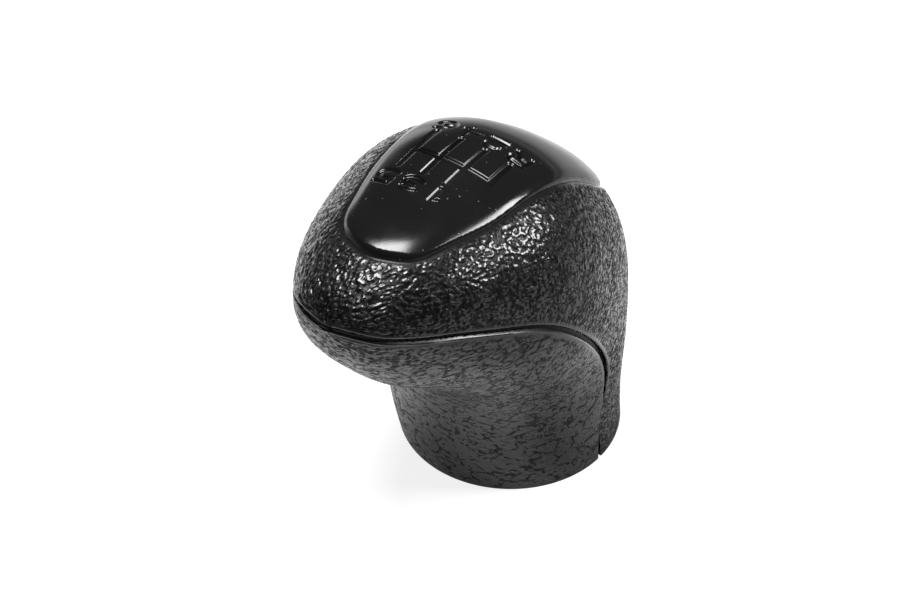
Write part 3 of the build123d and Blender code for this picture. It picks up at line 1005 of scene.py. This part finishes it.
studio = {
    "floorSize": 6.0,
    "floorGlow": 0.85,
    "floorMirrorGlow": (0.04, 0.57),    # painted light seen in reflections, to the right of the knob and elsewhere
    "floorDarkAzimuth": 95.0,
    "floorDarkEdge": (0.95, 0.55),
    "floorGlowReach": (0.2, 0.08),
    "baseShade": (0.024, 0.045, 0.4, 1.0),    # painted shadow: the glow is lower close to the base
    "floorColour": 0.5,
    "floorRoughness": 0.9,
    "skyDark": 0.03,
    "skyWhite": 2.2,
    "backdropAzimuth": -108.0,
    "backdropEdge": (0.75, 0.95),
    "backdropTop": (0.32, 0.05),
    "horizon": (0.12, 0.0, 0.0, 0.25),    # a low light ring behind everything
    "floorLit": 1.0,
    "lamps": [    # name, azimuth, elevation, distance, width, height, watts
        ("topLamp", -90.0, 80.0, 0.9, 0.36, 0.28, 7.2),
        ("rightLamp", 124.0, 42.0, 0.9, 0.28, 0.28, 5.3),
    ],
    "azimuth": 36.0,
    "elevation": 42.718,
    "distance": 0.644,
    "target": (-0.00832, -0.00605, 0.02911),
    "lens": 124.98,
    "sensor": 36.0,
    "clip": (0.01, 20.0),
}


def direction(azimuth, elevation):
    a, e = math.radians(azimuth), math.radians(elevation)
    return Vector((math.sin(a) * math.cos(e), -math.cos(a) * math.cos(e), math.sin(e)))


def towards(tree, ray, azimuth):    # cosine of the angle between a direction and a level azimuth
    return vectorCalc(tree, "DOT_PRODUCT", {0: ray, 1: direction(azimuth, 0)})["Value"]


def makeFloor():
    deselectAll()
    bpy.ops.mesh.primitive_plane_add(size=studio["floorSize"])
    floor = bpy.context.object
    floor.name = "floor"
    material, tree, shader = newMaterial("whiteFloor")
    shader.inputs["Base Color"].default_value = (*[studio["floorColour"]] * 3, 1)
    shader.inputs["Roughness"].default_value = studio["floorRoughness"]
    shader.inputs["Specular IOR Level"].default_value = 0.0
    path = tree.nodes.new("ShaderNodeLightPath")
    seen = calc(tree, "MULTIPLY", path.outputs["Is Camera Ray"], studio["floorGlow"])
    mirrored = calc(tree, "MAXIMUM", path.outputs["Is Glossy Ray"], path.outputs["Is Transmission Ray"])
    spot = tree.nodes.new("ShaderNodeTexCoord").outputs["Object"]
    outward = vectorCalc(tree, "NORMALIZE", {0: spot})[0]
    away = vectorCalc(tree, "LENGTH", {0: spot})["Value"]
    # painted light and shade seen only in reflections: the floor glows less to the right of the knob, more
    # towards the backdrop, and less close to the base
    near = towards(tree, outward, studio["floorDarkAzimuth"])
    near = ramp(tree, near, *studio["floorDarkEdge"], *studio["floorMirrorGlow"])
    near = calc(tree, "MULTIPLY", near, ramp(tree, away, *studio["floorGlowReach"]))
    near = calc(tree, "MULTIPLY", near, ramp(tree, away, *studio["baseShade"]))
    lit = ramp(tree, towards(tree, outward, studio["backdropAzimuth"]), *studio["backdropEdge"])
    lit = calc(tree, "MULTIPLY", lit, studio["floorLit"])
    strength = calc(tree, "MULTIPLY_ADD", mirrored, calc(tree, "MAXIMUM", near, lit), seen)
    glow = addNode(tree, "ShaderNodeEmission", {}, {"Strength": strength})
    both = addNode(tree, "ShaderNodeAddShader", {}, {0: shader.outputs[0], 1: glow.outputs[0]})
    tree.links.new(both.outputs[0], tree.nodes["Material Output"].inputs["Surface"])
    floor.data.materials.append(material)


def makeSky():
    world = bpy.data.worlds.new("studioSky")
    bpy.context.scene.world = world
    world.use_nodes = True
    tree = world.node_tree
    ray = tree.nodes.new("ShaderNodeTexCoord").outputs["Generated"]
    height = heightOf(tree, ray)
    wall = ramp(tree, towards(tree, ray, studio["backdropAzimuth"]), *studio["backdropEdge"])
    wall = calc(tree, "MULTIPLY", wall, ramp(tree, height, *studio["backdropTop"]))
    wall = calc(tree, "MAXIMUM", wall, ramp(tree, height, *studio["horizon"]))
    level = ramp(tree, wall, 0.0, 1.0, studio["skyDark"], studio["skyWhite"])
    tree.links.new(level, tree.nodes["Background"].inputs["Strength"])
    tree.nodes["Background"].inputs["Color"].default_value = (1, 1, 1, 1)


def makeLamps():
    viewRight = direction(studio["azimuth"] + 90, 0)
    for name, azimuth, elevation, away, width, height, watts in studio["lamps"]:
        deselectAll()
        aim = direction(azimuth, elevation)
        bpy.ops.object.light_add(type="AREA", location=aim * away)
        lamp = bpy.context.object
        lamp.name = name
        along = (viewRight - aim * viewRight.dot(aim)).normalized()    # long side lies across the picture
        lamp.rotation_euler = Matrix((along, aim.cross(along), aim)).transposed().to_euler()
        lamp.data.shape = "RECTANGLE"
        lamp.data.size = width
        lamp.data.size_y = height
        lamp.data.energy = watts


def makeCamera():
    deselectAll()
    back = direction(studio["azimuth"], studio["elevation"])
    bpy.ops.object.camera_add(location=Vector(studio["target"]) + back * studio["distance"])
    camera = bpy.context.object
    camera.name = "photoCamera"
    camera.rotation_euler = back.to_track_quat("Z", "Y").to_euler()
    camera.data.sensor_width = studio["sensor"]
    camera.data.lens = studio["lens"]
    camera.data.clip_start, camera.data.clip_end = studio["clip"]
    bpy.context.scene.camera = camera


makeFloor()
makeSky()
makeLamps()
makeCamera()
bpy.context.scene.view_settings.view_transform = "Standard"
print("studio set")

deselectAll()
